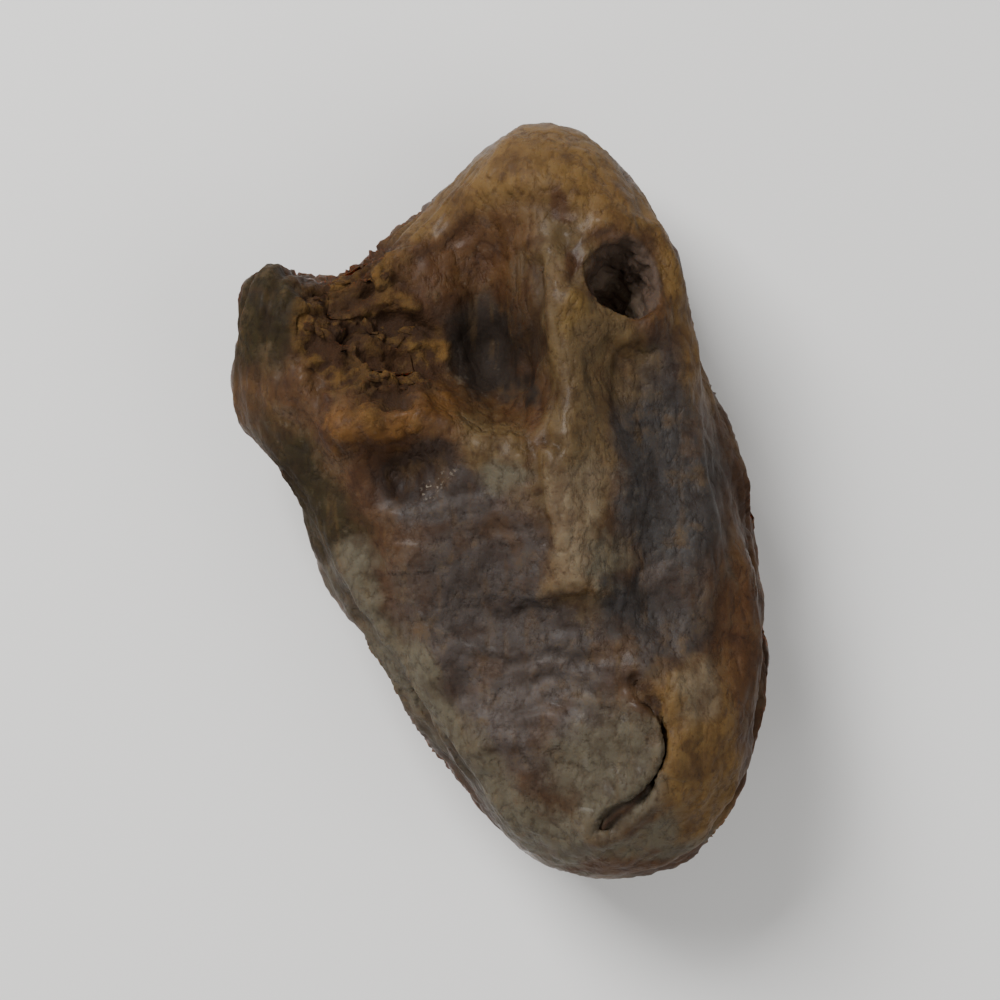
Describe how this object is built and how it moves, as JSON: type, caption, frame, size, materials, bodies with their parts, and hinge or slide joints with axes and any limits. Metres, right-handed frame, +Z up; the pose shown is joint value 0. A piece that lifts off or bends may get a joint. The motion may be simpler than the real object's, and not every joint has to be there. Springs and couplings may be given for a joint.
{
  "type": "pitted date",
  "caption": "Dried, pressed date with its stone removed: a wrinkled oblong fruit with a punched hole into a squeezed hollow.",
  "frame": {"origin": "under the middle of the fruit's box, at the level it rests on", "axes": "+Z up, out of the broad wrinkled face; +Y along the fruit, towards the end with the punched hole; +X to the right, on the hole's side"},
  "size_m": [0.0258, 0.0354, 0.0148],
  "materials": {
    "date_skin": "wrinkled dried fruit skin, amber to dark brown, satin with glossy folds"
  },
  "bodies": {
    "root": {"pitted_date": "date_skin"}
  },
  "joints": []
}
